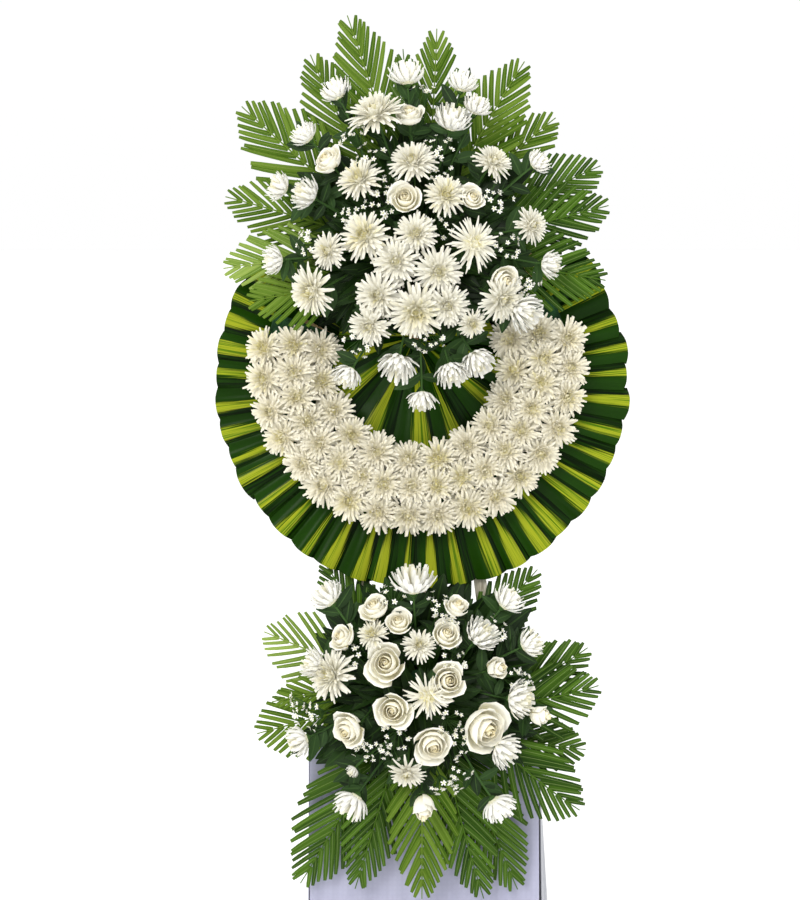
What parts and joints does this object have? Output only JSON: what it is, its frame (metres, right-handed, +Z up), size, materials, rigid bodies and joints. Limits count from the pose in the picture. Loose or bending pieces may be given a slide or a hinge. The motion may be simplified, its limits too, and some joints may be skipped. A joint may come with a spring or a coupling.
{
  "type": "standing funeral wreath",
  "caption": "Standing funeral wreath on a skirted wooden easel, with a leaf collar round a horseshoe of white chrysanthemums and a flower spray above and below.",
  "frame": {"origin": "on the floor under the middle of the wreath's bounding box", "axes": "+Z up, -Y towards the front of the wreath, +X to the right seen from the front"},
  "size_m": [0.7864, 0.5578, 1.7846],
  "materials": {
    "timber": "matte",
    "plywood": "matte",
    "skirt_lavender": "matte",
    "skirt_grey": "matte",
    "floral_foam": "matte",
    "striped_leaf": "satin",
    "palm_frond": "satin",
    "white_petals": "matte",
    "cream_petals": "matte"
  },
  "bodies": {
    "root": {"easel_leg_left": "timber", "easel_leg_right": "timber", "easel_leg_rear": "timber", "easel_head_block": "timber", "skirt_rail": "timber", "foam_shelf": "plywood", "backing_board": "plywood", "skirt_front": "skirt_lavender", "skirt_left": "skirt_lavender", "skirt_right": "skirt_grey", "ring_foam": "floral_foam", "upper_foam": "floral_foam", "lower_foam": "floral_foam", "centre_leaves": "striped_leaf", "collar_leaves_1": "striped_leaf", "collar_leaves_2": "striped_leaf", "collar_leaves_3": "striped_leaf", "collar_leaves_4": "striped_leaf", "ring_mums_1": "white_petals", "ring_mums_2": "white_petals", "ring_mums_3": "white_petals", "upper_frond_1": "palm_frond", "upper_frond_2": "palm_frond", "upper_frond_3": "palm_frond", "upper_frond_4": "palm_frond", "upper_frond_5": "palm_frond", "upper_frond_6": "palm_frond", "upper_frond_7": "palm_frond", "upper_frond_8": "palm_frond", "upper_frond_9": "palm_frond", "upper_frond_10": "palm_frond", "upper_frond_11": "palm_frond", "upper_frond_12": "palm_frond", "upper_frond_13": "palm_frond", "lower_frond_1": "palm_frond", "lower_frond_2": "palm_frond", "lower_frond_3": "palm_frond", "lower_frond_4": "palm_frond", "lower_frond_5": "palm_frond", "lower_frond_6": "palm_frond", "lower_frond_7": "palm_frond", "lower_frond_8": "palm_frond", "lower_frond_9": "palm_frond", "lower_frond_10": "palm_frond", "lower_frond_11": "palm_frond", "lower_frond_12": "palm_frond", "lower_frond_13": "palm_frond", "lower_frond_14": "palm_frond", "upper_bunch_top": "white_petals", "upper_bunch_right": "white_petals", "upper_bunch_low_right": "white_petals", "upper_bunch_low": "white_petals", "upper_bunch_left": "white_petals", "upper_bunch_middle": "white_petals", "lower_bunch_top": "white_petals", "lower_bunch_right": "white_petals", "lower_bunch_low_right": "white_petals", "lower_bunch_low": "white_petals", "lower_bunch_left": "white_petals", "lower_bunch_middle": "cream_petals"}
  },
  "joints": []
}
